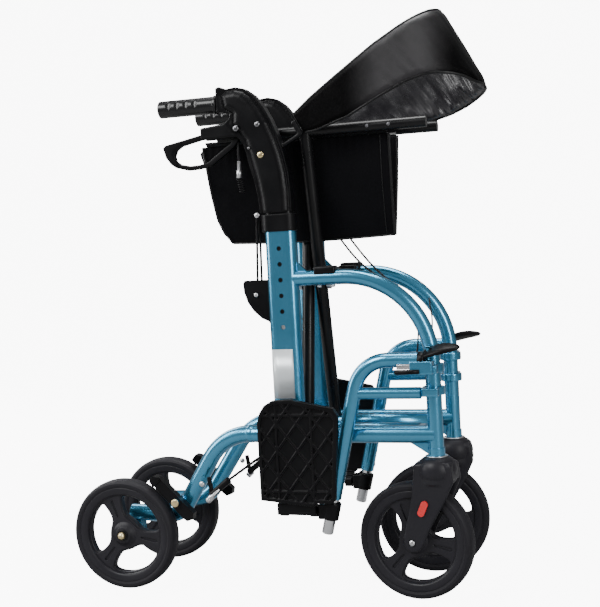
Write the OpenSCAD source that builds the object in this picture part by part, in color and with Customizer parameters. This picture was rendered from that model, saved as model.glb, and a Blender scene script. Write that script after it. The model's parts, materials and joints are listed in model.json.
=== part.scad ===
// Rollator walker with swing-away footrests, folded flat side to side.
// X runs from the rear axle (0) to the front, Y from the right side (-) to the left side (+),
// Z is up from the floor. Millimetres.
// Paired pieces are drawn on the right side; flip() mirrors them to the left.

/* [Frame] */
// distance of each folded side frame from the middle plane
frame_y = 84; // [82:1:90]
// distance from the rear axle to the front posts
post_x = 576; // [560:1:590]
// height of the seat-level arch tube
arch_z = 550; // [540:1:560]
// height of the lower rail
rail_z = 281; // [275:1:290]
// wheel radius
wheel_r = 100; // [95:1:100]

/* [Seat] */
// distance of each folded seat rail from the middle plane
seat_y = 50.2; // [49:0.1:51]
// height of the folded seat rails
seat_z = 801.8; // [800:0.1:804]

/* [Handle] */
// height of the hand grip centre
grip_z = 857; // [850:1:865]

/* [Hidden] */
$fn = 48;

blue = [0.27, 0.6, 0.7];
black = [0.08, 0.08, 0.09];
steel = [0.72, 0.73, 0.75];
rubber = [0.05, 0.05, 0.055];
red = [0.75, 0.05, 0.05];
cloth = [0.06, 0.06, 0.07];

right = -1; // signs of Y
left = 1;
right_y = -frame_y; // plane of the right side frame
lower_y = frame_y - 36; // fold pivots, from the middle plane
mast_x = 323; // oval post and handle tube
mast_r = 15; // end radius of the oval post
mast_bore_r = 12.5;
tube_r = 12.45; // end radius of the oval handle tube
arch_r = 13; // arch tube and front post
hole_top_z = 603; // highest of six height holes
hole_pitch = 27;
snap_z = hole_top_z - 5 * hole_pitch; // the lowest hole
bracket_xs = [306, 544]; // rear faces of the fold pivot brackets
bracket_len = 10;
axle_z = wheel_r;
rear_wheel_y = 97;
rear_axle_r = 6;
caster_axle_r = 4;
caster_yaw = 8;
trail = 42; // caster axle behind its stem
brake_x = 105; // brake arm pivot
brake_z = 160;
lever_x = 258; // brake lever pivot
lever_z = 812;
hang_y = right_y - 29; // plane of the right footrest hanger
hanger_top_z = 410;
hanger_r = 12.5;
paddle_x = 575;
clamp_z = 155; // footplate hinge
hinge_r = 5;
cross_z = rail_z + 254.51; // where the fold bars cross
bolt_r = 5;
seat_rail_r = 9.5;
band_slope = 28; // degrees the back band rises to the front
clearance = 0.05;

// ---- Helpers ----

// round bar between two points
module rod(start, finish, radius) {
  span = finish - start;
  length = norm(span);
  translate(start) rotate([0, acos(span[2] / length), atan2(span[1], span[0])])
    cylinder(r = radius, h = length);
}
// part ring in the XZ plane about a centre
module bend(centre, bend_r, from, sweep, radius) {
  translate(centre) rotate([90, 0, 0]) rotate([0, 0, from])
    rotate_extrude(angle = sweep) translate([bend_r, 0]) circle(r = radius);
}
// XZ drawing pushed out between two Y planes
module side_plate(y_from, y_to) {
  translate([0, y_to, 0]) rotate([90, 0, 0]) linear_extrude(height = y_to - y_from) children();
}
// cylinders along Y and along X
module ycyl(x, z, y_from, y_to, radius) {
  translate([x, y_to, z]) rotate([90, 0, 0]) cylinder(r = radius, h = y_to - y_from);
}
module xcyl(x_from, x_to, y, z, radius) {
  translate([x_from, y, z]) rotate([0, 90, 0]) cylinder(r = radius, h = x_to - x_from);
}
// oval section, long along X
module oval(radius) {
  square([25, 2 * radius], center = true);
  translate([12.5, 0]) circle(r = radius);
  translate([-12.5, 0]) circle(r = radius);
}
// upright oval bar on the line of the right mast
module mast(bottom, height, radius) {
  translate([mast_x, right_y, bottom]) linear_extrude(height = height) oval(radius);
}
module flip() { mirror([0, 1, 0]) children(); }

// ---- Side frame ----

// rear leg about its joint with the lower rail
module leg() {
  tube = 15;
  straight = 15.1;
  arc = 56.9;
  translate([0, 0, rail_z]) rotate([80, 0, 30]) sphere(r = 15.7);
  bend([0, 0, rail_z - 100], 100, 90, arc, tube);
  rod([-82.9, 0, 236.95], [-141.4, 0, 147.05], straight);
  bend([-178.2, 0, 173], 45, -90, arc, tube);
  rod([-176.7, 0, 128], [-256, 0, 128], straight);
}

// oval post, arch, lower rail, rear leg and brackets
module frame_side() {
  post_foot_z = 245;
  bend_r = 146;
  bend_x = post_x - bend_r;
  bend_z = arch_z - bend_r;
  spigot_r = 8;
  // X, Z corners
  gussets = [
    [[528, 270], [566, 270], [566, 246]],
    [[345, 290], [345, 320], [372, 290]],
    [[345, 556], [345, 584], [372, 556]]];
  color(blue) difference() {
    union() {
      mast(262, 393, mast_r);
      xcyl(mast_x, bend_x, right_y, arch_z, arch_r);
      bend([bend_x, right_y, bend_z], bend_r, 0, 90, arch_r);
      translate([post_x, right_y, post_foot_z]) cylinder(r = arch_r, h = bend_z - post_foot_z);
      translate([post_x, right_y, post_foot_z]) cylinder(r = 14.5, h = 14);
      xcyl(245, post_x, right_y, rail_z, 15);
      for (gusset = gussets) side_plate(right_y - 3, right_y + 3) polygon(gusset);
      // leg, turned a little inboard
      translate([248.6, right_y, 0]) rotate([0, 0, -7]) leg();
      // axle block
      translate([-14, -66, axle_z - 14]) cube([28, 24, 34]);
      // brake pivot stud: shoulder, pin, head
      ycyl(brake_x, brake_z, -86, -66, 8);
      ycyl(brake_x, brake_z, -105, -66, 4);
      ycyl(brake_x, brake_z, -109, -104.5, 7);
      // fold pivot brackets
      for (x = bracket_xs) translate([x, 0, 0]) {
        translate([0, -72, rail_z - 12]) cube([bracket_len, 24, 24]);
        xcyl(0, bracket_len, -lower_y, rail_z, 12);
      }
    }
    // post bore and height holes
    mast(297, 400, mast_bore_r);
    for (i = [0:5]) ycyl(mast_x, hole_top_z - hole_pitch * i, -101, right_y, 4);
    // caster stem bore
    translate([post_x, right_y, 240]) cylinder(r = 6 + clearance, h = 82);
    ycyl(0, axle_z, -80, -30, rear_axle_r);
    for (span = [[300, 325], [535, 560]])
      xcyl(span[0], span[1], -lower_y, rail_z, spigot_r + clearance);
  }
}

// cap on the top of the oval post
module collar_side() {
  color(black) difference() {
    translate([mast_x - 3, right_y, 632]) linear_extrude(height = 30) union() {
      for (x = [0, 3]) translate([x, 0]) oval(17.3);
    }
    mast(620, 35, mast_r);
    mast(620, 60, mast_bore_r);
  }
}

// block clipped over the arch, with a groove on its inboard arm
module saddle_side() {
  rear_x = 382;
  length = 36;
  color(black) difference() {
    union() {
      translate([rear_x, right_y - 15, arch_z - 12]) cube([length, 30, 33]);
      translate([rear_x, right_y + 12, arch_z + 2]) cube([length, 27, 21]);
    }
    xcyl(370, 430, right_y, arch_z, arch_r);
    xcyl(370, 430, right_y + 26, arch_z + 25.6, 10.2);
    translate([370, right_y - 20, arch_z - 50]) cube([60, 36, 40]);
  }
}

module cable_guide_side() {
  // X, Z
  outline = [[298, 550], [254, 550], [251, 545], [252, 530], [258, 512], [268, 497],
    [282, 484], [295, 478], [299, 478], [299, 550]];
  // start, finish, radius
  runs = [
    // upper cables
    [[276, right_y, 549], [281, right_y, 660], 2],
    [[283, right_y + 2, 549], [285, right_y + 2, 652], 2],
    // lower cable down to the brake
    [[288, -80, 486], [297, -62, 462], 2.2],
    [[297, -62, 464], [297, -62, 262], 2.3],
    [[297, -62, 264], [203, -100, 199], 2.4],
    // spring barrel and hook on the leg
    [[207, -100, 201.6], [170, -97, 172], 6],
    [[172, -97, 174], [168, -95.5, 205], 4]];
  color(black) union() {
    difference() {
      side_plate(right_y - 6, right_y + 5) polygon(outline);
      mast(470, 90, mast_r);
    }
    ycyl(275, 525, right_y - 8, right_y - 5, 4);
    for (run = runs) rod(run[0], run[1], run[2]);
  }
}

// ---- Wheels and brake arm ----

module rear_axle_side() {
  // Y from, Y to, radius: shaft, outer head, spacer, inner nut
  parts = [[-122, -40, rear_axle_r], [-125, -115.5, 9], [-78.5, -66, 9], [-42, -36, 9]];
  color(steel) union() {
    for (part = parts) ycyl(0, axle_z, part[0], part[1], part[2]);
  }
}

// wheel about the origin, axle along Y
module wheel(bore_r) {
  spoke_angles = [110, -10, 230];
  // radius, Y
  rim = [[73, -12], [86, -15], [86, 15], [73, 12]];
  // distance from the hub centre, half-width offset
  spoke = [[12, -17], [40, -13], [58, -15], [70, -22], [77, -31],
    [77, 31], [70, 22], [58, 15], [40, 13], [12, 17]];
  color(black) difference() {
    union() {
      rotate([90, 0, 0]) rotate_extrude() polygon(rim);
      ycyl(0, 0, -17, 17, 19);
      for (angle = spoke_angles) rotate([0, -angle, 0]) {
        side_plate(-7, 7) polygon(spoke);
        // raised ribs along the spoke edges
        for (edge = [-1, 1]) side_plate(-10, 10)
          polygon([[12, edge * 11 - 2], [78, edge * 8 - 2], [78, edge * 8 + 2], [12, edge * 11 + 2]]);
      }
    }
    ycyl(0, 0, -40, 40, bore_r);
    // two slots through each spoke
    for (angle = spoke_angles) rotate([0, -angle, 0])
      for (x = [60, 66]) translate([x, -20, -4]) cube([3, 40, 8]);
  }
}

// tyre about the origin
module tyre() {
  // radius, Y
  profile = [[86, -15], [90, -16.6], [94, -16.4], [97, -14], [99.2, -10], [wheel_r, -5],
    [wheel_r, 5], [99.2, 10], [97, 14], [94, 16.4], [90, 16.6], [86, 15]];
  color(rubber) rotate([90, 0, 0]) rotate_extrude() polygon(profile);
}

module at_rear_wheel(side) {
  translate([0, side * rear_wheel_y, axle_z]) children();
}

module brake_arm_side() {
  // X, Z
  arm = [[55, 197], [63, 207], [74, 204], [137, 141], [135, 130], [124, 126], [116, 132]];
  tip = [[55, 197], [63, 207], [72, 205], [76, 200], [62.5, 187]];
  color(black) difference() {
    union() {
      side_plate(-103.5, -88.5) polygon(arm);
      side_plate(-106, -86.5) polygon(tip);
    }
    ycyl(brake_x, brake_z, -120, -80, 4 + clearance);
  }
}

// ---- Handle ----

module handle_tube_side() {
  color(steel) difference() {
    mast(302, 398, tube_r);
    mast(300, 396, tube_r - 2);
    ycyl(mast_x, snap_z, -100, right_y, 3.75);
  }
}

module grip_bar(x_to) { xcyl(114, x_to, right_y, grip_z, 10); }

// frame on the back band pin, Z along the pin
module at_band_pin() {
  translate([362, right_y, 807]) rotate([0, -band_slope, 0]) children();
}

module handle_shell_side() {
  // X, Z
  body = [[291, 664], [289, 690], [284, 720], [277, 745], [272, 768], [267, 786], [258, 798],
    [192, 797], [190, 802], [190, 818], [232, 822], [244, 830], [246, 838], [230, 842],
    [222, 842], [222, 884], [229, 886], [238, 881], [258, 883], [274, 879], [290, 867],
    [305, 848], [318, 824], [330, 795], [339, 765], [345, 735], [348, 700], [348, 664]];
  raised = [[296, 664], [294, 690], [289, 722], [283, 748], [277, 772], [272, 790],
    [262, 806], [250, 820], [252, 838], [236, 848], [232, 870], [240, 876], [258, 878],
    [272, 874], [286, 862], [300, 843], [313, 820], [325, 791], [334, 762], [340, 733],
    [343, 700], [343, 664]];
  lever_slot = [[180, 770], [180, 830], [222, 830], [240, 829], [262, 829], [270, 812],
    [276, 775], [262, 745]];
  color(black) union() {
    difference() {
      union() {
        side_plate(right_y - 14, right_y + 14) polygon(body);
        side_plate(right_y - 17, right_y + 13.9) polygon(raised);
        // bar inside the grip
        grip_bar(226);
        // bracket arm and pin for the back band
        at_band_pin() {
          translate([-46, -5, -17]) cube([49, 10, 6]);
          translate([0, 0, -14]) cylinder(r = 5, h = 26);
        }
      }
      // tube socket
      mast(660, 40, tube_r);
      side_plate(right_y - 6.5, right_y + 6.5) polygon(lever_slot);
      // hollow of the hood
      mast(700, 20, 9);
    }
    // lever pivot pin
    ycyl(lever_x, lever_z, right_y - 13, right_y + 13, 3);
  }
}

// ribbed sleeve on the grip bar
module grip_side() {
  groove_starts = [17, 33, 49, 65, 83];
  // radius, distance from the groove start
  groove = [[15, -3], [13.4, 0], [13.4, 2], [15, 5]];
  // radius, distance from the rear end
  profile = concat(
    [[0, 0], [12, 0], [15, 3]],
    [for (start = groove_starts, point = groove) [point[0], start + point[1]]],
    [[15, 108], [16.5, 109], [16.5, 111.5], [0, 111.5]]);
  color(rubber) difference() {
    translate([110, right_y, grip_z]) rotate([0, 90, 0]) rotate_extrude() polygon(profile);
    grip_bar(230);
  }
}

// loop lever below the grip
module brake_lever_side() {
  // X, Z
  outer = [[264, 814], [256, 815], [190, 808], [150, 800], [119, 794], [114, 789],
    [119, 772], [128, 760], [138, 753], [160, 747], [182, 748], [205, 753], [236, 774],
    [250, 784], [262, 800]];
  opening = [[245, 803], [192, 799], [150, 790], [140, 783], [136, 774], [138, 765],
    [146, 759], [164, 755], [184, 756], [200, 760], [230, 781], [243, 789], [248, 798]];
  rear_end = [[119, 794], [114, 789], [119, 772], [128, 760], [138, 753], [140, 760],
    [134, 768], [131, 777], [136, 786], [150, 792], [150, 800]];
  color(black) difference() {
    union() {
      ycyl(lever_x, lever_z, right_y - 6, right_y + 6, 8);
      difference() {
        side_plate(right_y - 5, right_y + 5) polygon(outer);
        side_plate(right_y - 9, right_y + 9) polygon(opening);
      }
      side_plate(right_y - 6, right_y + 6) polygon(rear_end);
    }
    ycyl(lever_x, lever_z, right_y - 10, right_y + 10, 3 + clearance);
  }
}

module snap_button_side() {
  color(steel) union() {
    ycyl(mast_x, snap_z, -96.4, -88.2, 3.7);
    ycyl(mast_x, snap_z, -90.2, -88.2, 6);
  }
}

// ---- Casters ----
// drawn with the stem on the Z axis and the wheel behind, then placed and turned

module at_caster(side) {
  translate([post_x, side * frame_y, 0]) rotate([0, 0, side * caster_yaw]) children();
}
module at_front_wheel(side) {
  at_caster(side) translate([-trail, 0, axle_z]) children();
}

module caster_fork(side) {
  // X, Z
  blade = [[-34, 234], [30, 234], [34, 205], [18, 172], [-8, 128], [-24, 92], [-34, 84],
    [-46, 82], [-56, 90], [-58, 106], [-50, 140], [-40, 180]];
  crown = [[-34, 236], [30, 236], [33, 206], [-36, 206]];
  color(black) at_caster(side) difference() {
    union() {
      translate([0, 0, 200]) cylinder(r = 30, h = 38);
      translate([0, 0, 238]) cylinder(r = 22, h = 6.5);
      // stem, trimmed below the crown
      cylinder(r = 6, h = 320);
      for (y = [-21.25, 21.25]) translate([0, y, 0]) side_plate(-3.25, 3.25) polygon(blade);
      side_plate(-20, 20) polygon(crown);
    }
    translate([0, 0, -10]) cylinder(r = 12, h = 205);
    // wheel space and axle hole
    ycyl(-trail, axle_z, -18, 18, wheel_r + 3);
    ycyl(-trail, axle_z, -40, 40, caster_axle_r);
  }
}

module caster_axle(side) {
  // Y from, Y to, radius: shaft and two heads
  parts = [[-26, 26, caster_axle_r], [-26.5, -24.5, 8], [24.5, 26.5, 8]];
  at_caster(side) color(steel) union() {
    for (part = parts) ycyl(-trail, axle_z, part[0], part[1], part[2]);
  }
}

// oval reflector on the outer fork leg
module reflector(side) {
  at_caster(side) color(red) translate([-20, side * 26, 160]) rotate([0, 24, 0]) union() {
    for (z = [-8, 8]) ycyl(0, z, -1.5, 1.5, 6);
    translate([-6, -1.5, -8]) cube([12, 3, 16]);
  }
}

// ---- Footrests ----

module hanger_brace() { xcyl(450, 560, hang_y, 355, 10); }
module extension_bar() { rod([427, hang_y, 277.1], [385.5, hang_y, 107.9], 10); }

// curved tube with a brace across the bend
module hanger_tube_side() {
  bend_x = 506.7;
  bend_r = 60;
  color(blue) difference() {
    union() {
      xcyl(bend_x, 566, hang_y, hanger_top_z, hanger_r);
      bend([bend_x, hang_y, hanger_top_z - bend_r], bend_r, 90, 76.2, hanger_r);
      rod([448.4, hang_y, 364.4], [402.5, hang_y, 177], hanger_r);
      hanger_brace();
    }
    // bore for the extension tube
    rod([430, hang_y, 289.5], [388, hang_y, 117.9], 10 + clearance);
  }
}

// two rings round the front post, and the block that holds the hanger
module hanger_bracket_side() {
  ring_h = 14;
  color(black) difference() {
    union() {
      for (z = [348, 386]) {
        translate([post_x, right_y, z]) cylinder(r = 19, h = ring_h);
        translate([548, hang_y - 2, z]) cube([40, 20, ring_h]);
      }
      translate([545, hang_y - 14, 386]) cube([38, 28, 22]);
      // paddle pin and head
      translate([paddle_x, hang_y, 400]) cylinder(r = 3, h = 31);
      translate([paddle_x, hang_y, 430.3]) cylinder(r = 6, h = 2);
    }
    translate([post_x, right_y, 340]) cylinder(r = arch_r + clearance, h = 80);
    xcyl(500, 566, hang_y, hanger_top_z, hanger_r);
    hanger_brace();
  }
}

module paddle_side() {
  pivot_r = 12;
  color(black) difference() {
    translate([0, 0, 423]) linear_extrude(height = 7) union() {
      translate([paddle_x, hang_y]) circle(r = pivot_r);
      polygon([[paddle_x, hang_y - pivot_r], [paddle_x, hang_y + pivot_r], [618, hang_y + 9],
        [624, hang_y + 4], [624, hang_y - 12], [616, hang_y - 17]]);
    }
    translate([paddle_x, hang_y, 400]) cylinder(r = 3 + clearance, h = 40);
  }
}

module extension_tube_side() {
  color(steel) extension_bar();
}

// sleeve on the extension tube, with the footplate hinge pin
module footrest_clamp_side() {
  color(black) difference() {
    union() {
      rod([400.9, hang_y, 170.6], [393.6, hang_y, 141], 14.5);
      translate([376, hang_y - 12, 142]) cube([16, 24, 26]);
      xcyl(304, 378, hang_y, clamp_z, hinge_r);
    }
    extension_bar();
  }
}

// plate folded up against the hanger, ribs on its outer face
module footplate_side() {
  // X, Z
  outline = [[280, 176], [374, 167], [380, 173], [405, 173], [412, 178], [423, 322],
    [415, 334], [340, 349], [308, 347], [294, 339], [285, 326], [280, 308]];
  border_inside = [[286, 182], [373, 173], [377, 179], [403, 179], [406, 183], [416, 319],
    [410, 328], [339, 342.5], [310, 341], [298, 334], [290, 323], [286, 306]];
  rib_limit = [[282, 178], [373, 169], [379, 175], [404, 175], [410, 179], [419, 321],
    [412, 331], [340, 346], [309, 344], [296, 337], [287, 325], [282, 307]];
  rib_w = 3.4;
  rib_pitch = 36;
  color(black) difference() {
    union() {
      // hinge barrel and its web
      xcyl(306, 374, hang_y, clamp_z, 11);
      side_plate(hang_y - 19, hang_y - 4)
        polygon([[306, 150], [374, 150], [374, 170], [306, 170]]);
      side_plate(hang_y - 22, hang_y - 16) polygon(outline);
      side_plate(hang_y - 27, hang_y - 21) difference() {
        polygon(outline);
        polygon(border_inside);
      }
      side_plate(hang_y - 26, hang_y - 21) intersection() {
        polygon(rib_limit);
        union() {
          // crossed diagonals: first step, angle
          for (set = [[-3, 52], [0, 128]], i = [0:8])
            translate([280 + rib_pitch * (set[0] + i), 170]) rotate([0, 0, set[1]])
              square([260, rib_w]);
          for (x = [312, 374]) translate([x, 150]) square([rib_w, 220]);
          for (z = [190, 320]) translate([260, z]) square([180, rib_w]);
        }
      }
    }
    xcyl(290, 390, hang_y, clamp_z, hinge_r + clearance);
    translate([320, hang_y - 12, 140]) cube([40, 30, 40]);
  }
}

// ---- Fold bars and seat ----

// bar from a fold pivot on the foot side up to the seat rail on the other side
module cross_bar(x, foot, bolt_hole_r) {
  pivot_y = foot * lower_y;
  top_y = -foot * seat_y;
  front_end = bracket_xs[1] + bracket_len;
  color(black) difference() {
    union() {
      rod([x, pivot_y, rail_z], [x, top_y, seat_z], 11);
      // sleeve between the brackets, spigots through them
      xcyl(bracket_xs[0] + bracket_len + 1, bracket_xs[1] - 1, pivot_y, rail_z, 13);
      xcyl(bracket_xs[0] - 2, front_end + 2, pivot_y, rail_z, 8);
    }
    xcyl(300, 400, 0, cross_z, bolt_hole_r);
    // saddle for the seat rail
    xcyl(190, 600, top_y, seat_z, seat_rail_r);
    translate([x - 20, top_y - 30, seat_z]) cube([40, 60, 30]);
  }
}

module centre_bolt() {
  // X from, X to, radius: shaft and two heads
  parts = [[325, 384, bolt_r], [325, 330.8, 9], [377.5, 384, 9]];
  color(steel) union() {
    for (part = parts) xcyl(part[0], part[1], 0, cross_z, part[2]);
  }
}

// seat rail with the hem flap of the sling sloping down inboard
module seat_rail(side) {
  rail_y = side * seat_y;
  color(black) union() {
    xcyl(205, 578, rail_y, seat_z, seat_rail_r);
    difference() {
      translate([176, rail_y, seat_z]) rotate([side == left ? 180 + 36 : -36, 0, 0])
        translate([0, 6, -1.5]) cube([330, 12.5, 3]);
      // gap around the fold bars
      translate([298, -100, 700]) cube([83, 200, 200]);
      xcyl(170, 204.9, rail_y, seat_z, seat_rail_r);
    }
  }
}

// one half of the hanging seat sling, hinged under its rail
module seat_panel_side() {
  // X, distance up from the hinge
  outline = [[172, -1.5], [175, -90], [180, -135], [190, -158], [202, -170], [214, -172],
    [503, -172], [506, -168], [508, -1.5]];
  color(cloth) translate([0, -34, 790]) rotate([10.6, 0, 0]) difference() {
    side_plate(-1.5, 1.5) polygon(outline);
    // notch around the fold bars
    translate([329, -5, -14]) cube([50, 10, 20]);
  }
}

module seat_seam_side() {
  color(cloth) translate([216, -1.5, 624.5]) cube([286, 0.7, 2]);
}

// ---- Back band ----

// one half of the padded band: a tapering strip round a flat loop that rises to the front
module band_half(back_x, lower_edge) {
  outer_r = 82;
  inner_r = 75;
  bend_x = 232;
  half_w = outer_r - 0.5; // stops short of the middle plane
  // X, Z
  upper_edge = [[back_x, 10 + (back_x - 18) * 0.24], [60, 20], [196, 35], [300, 39], [320, 37]];
  translate([345, 0, 808]) rotate([0, -band_slope, 0]) intersection() {
    translate([0, 0, -130]) linear_extrude(height = 200) difference() {
      union() {
        translate([back_x, -outer_r]) square([bend_x - back_x, half_w]);
        intersection() {
          translate([bend_x, 0]) circle(r = outer_r);
          translate([bend_x - 0.5, -outer_r]) square([90, half_w]);
        }
      }
      translate([10, -inner_r]) square([bend_x - 10, 80]);
      translate([bend_x, 0]) circle(r = inner_r);
    }
    side_plate(-100, 10) polygon(concat(upper_edge, lower_edge));
  }
}

// eye on the bracket pin
module band_eye() {
  height = 21;
  at_band_pin() difference() {
    union() {
      translate([0, 0, -height / 2]) cylinder(r = 9, h = height);
      translate([0, 0, -height / 2]) cube([16, 8.9, height]);
    }
    translate([0, 0, -30]) cylinder(r = 5 + clearance, h = 60);
  }
}

module back_band_right() {
  back_x = 20.5;
  color(cloth) union() {
    band_half(back_x, [[320, -108], [304, -104], [292, -80], [259, -56], [210, -43],
      [102, -41], [40, -30], [back_x, -19]]);
    band_eye();
  }
}
module back_band_left() {
  back_x = 34;
  color(cloth) flip() band_half(back_x, [[320, -112], [304, -111], [262, -109], [197, -97],
    [150, -80], [102, -60], [back_x, -34]]);
}

// ---- Nodes ----

frame_side();  // frame_right
flip() frame_side();  // frame_left
collar_side();  // post_collar_right
flip() collar_side();  // post_collar_left
saddle_side();  // saddle_right
flip() saddle_side();  // saddle_left
cable_guide_side();  // cable_guide_right
flip() cable_guide_side();  // cable_guide_left
rear_axle_side();  // rear_axle_right
flip() rear_axle_side();  // rear_axle_left
at_rear_wheel(right) wheel(rear_axle_r + clearance);  // wheel_rear_right
at_rear_wheel(left) wheel(rear_axle_r + clearance);  // wheel_rear_left
at_rear_wheel(right) tyre();  // tyre_rear_right
at_rear_wheel(left) tyre();  // tyre_rear_left
brake_arm_side();  // brake_arm_right
flip() brake_arm_side();  // brake_arm_left
handle_tube_side();  // handle_tube_right
flip() handle_tube_side();  // handle_tube_left
handle_shell_side();  // handle_shell_right
flip() handle_shell_side();  // handle_shell_left
grip_side();  // grip_right
flip() grip_side();  // grip_left
brake_lever_side();  // brake_lever_right
flip() brake_lever_side();  // brake_lever_left
snap_button_side();  // snap_button_right
flip() snap_button_side();  // snap_button_left
caster_fork(right);  // caster_fork_right
caster_fork(left);  // caster_fork_left
reflector(right);  // reflector_right
reflector(left);  // reflector_left
caster_axle(right);  // caster_axle_right
caster_axle(left);  // caster_axle_left
at_front_wheel(right) wheel(caster_axle_r + clearance);  // wheel_front_right
at_front_wheel(left) wheel(caster_axle_r + clearance);  // wheel_front_left
at_front_wheel(right) tyre();  // tyre_front_right
at_front_wheel(left) tyre();  // tyre_front_left
hanger_tube_side();  // hanger_tube_right
flip() hanger_tube_side();  // hanger_tube_left
hanger_bracket_side();  // hanger_bracket_right
flip() hanger_bracket_side();  // hanger_bracket_left
paddle_side();  // release_paddle_right
flip() paddle_side();  // release_paddle_left
extension_tube_side();  // extension_tube_right
flip() extension_tube_side();  // extension_tube_left
footrest_clamp_side();  // footrest_clamp_right
flip() footrest_clamp_side();  // footrest_clamp_left
footplate_side();  // footplate_right
flip() footplate_side();  // footplate_left
cross_bar(342, right, bolt_r);  // cross_bar_a
cross_bar(366, left, bolt_r + clearance);  // cross_bar_b
centre_bolt();
seat_rail(right);  // seat_rail_right
seat_rail(left);  // seat_rail_left
seat_panel_side();  // seat_panel_right
flip() seat_panel_side();  // seat_panel_left
seat_seam_side();  // seat_seam_right
flip() seat_seam_side();  // seat_seam_left
back_band_right();
back_band_left();
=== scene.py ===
"""A folded rollator-style chair: looks, materials and stage built over its CAD frame.

Metres, +Z up, floor at z = 0. +X runs from the rear wheels (x = 0) to the casters, the left
side is +Y and the right side is -Y. The two side frames stand close together at
y = +-SIDE_Y. Places given as (x, out, z) measure "out" from the middle plane y = 0 towards
the side in hand.
"""
import json
import math
import bpy
import bmesh
import numpy as np
from mathutils import Matrix, Vector, noise
from mathutils.kdtree import KDTree


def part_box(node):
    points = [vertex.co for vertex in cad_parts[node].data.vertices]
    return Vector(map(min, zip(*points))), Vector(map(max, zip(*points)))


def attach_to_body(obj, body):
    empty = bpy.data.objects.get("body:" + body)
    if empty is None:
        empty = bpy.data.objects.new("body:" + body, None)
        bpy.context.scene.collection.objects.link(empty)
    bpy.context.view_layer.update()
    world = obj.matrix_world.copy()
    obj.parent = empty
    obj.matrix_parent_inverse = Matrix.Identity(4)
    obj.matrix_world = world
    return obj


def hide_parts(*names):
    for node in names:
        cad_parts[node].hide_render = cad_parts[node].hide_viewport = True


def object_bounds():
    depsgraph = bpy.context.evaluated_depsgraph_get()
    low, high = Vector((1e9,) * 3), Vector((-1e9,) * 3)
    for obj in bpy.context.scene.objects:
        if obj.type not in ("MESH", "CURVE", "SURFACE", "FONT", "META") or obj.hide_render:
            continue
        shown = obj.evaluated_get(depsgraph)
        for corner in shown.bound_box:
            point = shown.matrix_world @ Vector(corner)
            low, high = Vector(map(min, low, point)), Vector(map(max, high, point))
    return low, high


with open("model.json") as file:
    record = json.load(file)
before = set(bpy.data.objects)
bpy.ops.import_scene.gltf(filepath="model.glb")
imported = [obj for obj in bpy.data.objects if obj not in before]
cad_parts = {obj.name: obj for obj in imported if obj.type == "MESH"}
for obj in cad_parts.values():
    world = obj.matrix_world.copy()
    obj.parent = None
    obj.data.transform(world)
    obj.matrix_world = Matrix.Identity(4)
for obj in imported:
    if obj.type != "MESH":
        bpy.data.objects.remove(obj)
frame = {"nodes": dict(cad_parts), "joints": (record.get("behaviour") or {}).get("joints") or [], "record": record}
nodes = frame["nodes"]
scene = bpy.context.scene

SIDES = (("_right", -1.0), ("_left", 1.0))
SIDE_Y = 0.084        # middle of each side frame
HANGER_Y = 0.113      # middle of each footrest hanger
LOWER_TUBE_Y = 0.048  # middle of each lower tube of the crossed frame
LOWER_TUBE_Z = 0.281
REAR_WHEEL_Y = 0.097
REAR_AXLE_Z = 0.1
CASTER_X = 0.576      # caster stem


def bounds_record():
    """The bounds as plain lists, or as text if they come in another form."""
    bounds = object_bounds()
    if isinstance(bounds, (tuple, list)):
        return [list(map(float, corner)) for corner in bounds]
    return str(bounds)


{"frame": bounds_record()}


# ---------------------------------------------------------------- materials
MIX_FACTOR, MIX_A, MIX_B, MIX_COLOR = 0, 6, 7, 2  # sockets of an RGBA mix node


class Shader:
    """The node tree of a material or world, with short ways to add and link nodes."""

    def __init__(self, block, main="Principled BSDF"):
        block.use_nodes = True
        self.tree = block.node_tree
        self.main = self.tree.nodes[main]

    def put(self, node, inputs):
        """Sets each input to a value, or links it where a socket is given."""
        for key, value in inputs.items():
            if isinstance(value, bpy.types.NodeSocket):
                self.tree.links.new(value, node.inputs[key])
            else:
                node.inputs[key].default_value = value

    def add(self, kind, inputs, **settings):
        node = self.tree.nodes.new("ShaderNode" + kind)
        for key, value in settings.items():
            setattr(node, key, value)
        self.put(node, inputs)
        return node

    def object_coords(self):
        return self.add("TexCoord", {}).outputs["Object"]

    def noise(self, coords, scale, detail, **more):
        inputs = {"Scale": scale, "Detail": detail, "Vector": coords, **more}
        return self.add("TexNoise", inputs).outputs["Fac"]

    def remap(self, value, source, target, **settings):
        inputs = {"From Min": source[0], "From Max": source[1],
                  "To Min": target[0], "To Max": target[1], "Value": value}
        return self.add("MapRange", inputs, **settings).outputs["Result"]

    def mix(self, factor, first, second):
        inputs = {MIX_A: first, MIX_B: second, MIX_FACTOR: factor}
        return self.add("Mix", inputs, data_type="RGBA").outputs[MIX_COLOR]

    def math(self, operation, first, second):
        return self.add("Math", {0: first, 1: second}, operation=operation).outputs[0]


def scaled(color, factor, lift=0.0):
    return (*[min(1, c * factor + lift) for c in color], 1)


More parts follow.
